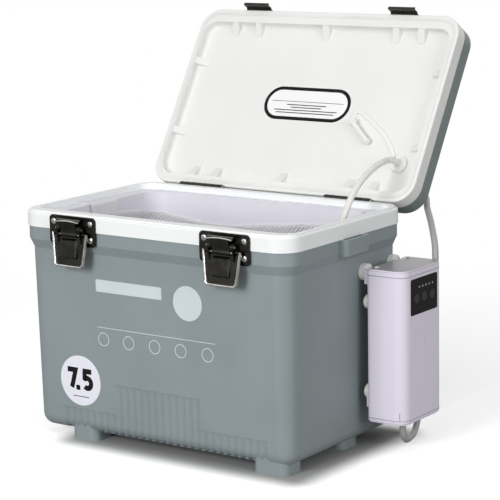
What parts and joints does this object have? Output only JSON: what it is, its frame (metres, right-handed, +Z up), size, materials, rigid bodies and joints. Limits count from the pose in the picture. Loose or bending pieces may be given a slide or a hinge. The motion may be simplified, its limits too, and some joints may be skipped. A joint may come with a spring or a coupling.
{
  "type": "aerated bait bucket",
  "caption": "Rectangular insulated live-bait box with hinged lid, toggle latches, net liner and a battery air pump hung on its end, hose through the lid.",
  "frame": {"origin": "centre of the shell's flat underside, 8.5 mm above what the feet stand on", "axes": "+X to the right along the latch side, +Y to the hinges, +Z up"},
  "size_m": [0.3577, 0.3363, 0.3909],
  "materials": {
    "grey_shell": "fine moulded grain, satin",
    "lid_grey": "fine moulded grain, satin",
    "white_rim": "smooth white",
    "white_panel": "smooth white, soft edges",
    "liner_white": "smooth white",
    "foam": "closed cell foam",
    "net": "knitted white net",
    "gasket_rubber": "soft pale seal",
    "black_nickel": "dark bright plating",
    "steel_pin": "turned steel",
    "screw_steel": "plated steel",
    "sticker": "printed film",
    "label": "printed film with a dark border",
    "pump_plastic": "smooth off-white with a lilac tint",
    "window_black": "black gloss",
    "button_black": "soft black",
    "led": "clear lens",
    "board_green": "printed circuit",
    "cell_wrap": "shrink wrap",
    "motor_can": "drawn can",
    "dark_plastic": "moulded",
    "white_rubber": "soft white",
    "silicone_hose": "translucent silicone",
    "silicone_clear": "pale translucent silicone",
    "stone_blue": "sintered grit"
  },
  "bodies": {
    "box": {"outer_shell": "grey_shell", "body_foam": "foam", "inner_liner": "liner_white", "rim_frame": "white_rim", "net_bag": "net", "net_hangers": "net", "capacity_sticker": "sticker", "hanger_studs": "white_rubber", "hinge_body_leaves": "black_nickel", "hinge_body_screws": "screw_steel", "hinge_pins": "steel_pin", "latch_left_base": "black_nickel", "latch_right_base": "black_nickel", "latch_screws": "screw_steel", "latch_pivots": "steel_pin", "pump_housing": "pump_plastic", "pump_back_cover": "pump_plastic", "pump_top_cap": "pump_plastic", "pump_bottom_cap": "pump_plastic", "pump_bumpers": "white_rubber", "control_window": "window_black", "circuit_board": "board_green", "led_lights": "led", "battery": "cell_wrap", "air_motor": "motor_can", "diaphragm_pump": "dark_plastic", "outlet_barb": "white_rubber", "hose_outer": "silicone_hose", "hose_inner": "silicone_clear", "air_stone": "stone_blue"},
    "lid": {"lid_outer_shell": "lid_grey", "lid_foam": "foam", "lid_inner_panel": "white_panel", "lid_gasket": "gasket_rubber", "hinge_lid_leaves": "black_nickel", "hinge_lid_screws": "screw_steel", "lid_keepers": "black_nickel", "keeper_screws": "screw_steel", "lid_label": "label", "hose_grommet": "white_rubber", "grommet_plug": "white_rubber", "plug_strap": "white_rubber"},
    "left_lever": {"latch_left_lever": "black_nickel", "latch_left_pin": "steel_pin"},
    "right_lever": {"latch_right_lever": "black_nickel", "latch_right_pin": "steel_pin"},
    "left_hook": {"latch_left_hook": "black_nickel"},
    "right_hook": {"latch_right_hook": "black_nickel"},
    "power_button": {"button_power": "button_black"},
    "mode_button": {"button_mode": "button_black"},
    "light_button": {"button_light": "button_black"}
  },
  "joints": [
    {"name": "lid_hinge", "type": "hinge", "parent": "box", "child": "lid", "pos_m": [0, 0.09975, 0.2077], "axis": [1, 0, 0], "range_deg": [0, 121.5], "deforming": ["hose_outer", "hose_inner"]},
    {"name": "left_lever_hinge", "type": "hinge", "parent": "box", "child": "left_lever", "pos_m": [-0.086, -0.1031, 0.196], "axis": [-1, 0, 0], "range_deg": [0, 100]},
    {"name": "left_hook_hinge", "type": "hinge", "parent": "left_lever", "child": "left_hook", "pos_m": [-0.086, -0.1027, 0.1909], "axis": [1, 0, 0], "range_deg": [0, 100]},
    {"name": "right_lever_hinge", "type": "hinge", "parent": "box", "child": "right_lever", "pos_m": [0.086, -0.1031, 0.196], "axis": [-1, 0, 0], "range_deg": [0, 100]},
    {"name": "right_hook_hinge", "type": "hinge", "parent": "right_lever", "child": "right_hook", "pos_m": [0.086, -0.1027, 0.1909], "axis": [1, 0, 0], "range_deg": [0, 100]},
    {"name": "power_button_press", "type": "slide", "parent": "box", "child": "power_button", "axis": [-1, 0, 0], "range_m": [0, 0.001], "stiffness_N_per_m": 1500},
    {"name": "mode_button_press", "type": "slide", "parent": "box", "child": "mode_button", "axis": [-1, 0, 0], "range_m": [0, 0.001], "stiffness_N_per_m": 1500},
    {"name": "light_button_press", "type": "slide", "parent": "box", "child": "light_button", "axis": [-1, 0, 0], "range_m": [0, 0.001], "stiffness_N_per_m": 1500}
  ],
  "couplings": [
    {"joint": "left_hook_hinge", "follows": "left_lever_hinge", "ratio": 1},
    {"joint": "right_hook_hinge", "follows": "right_lever_hinge", "ratio": 1}
  ]
}
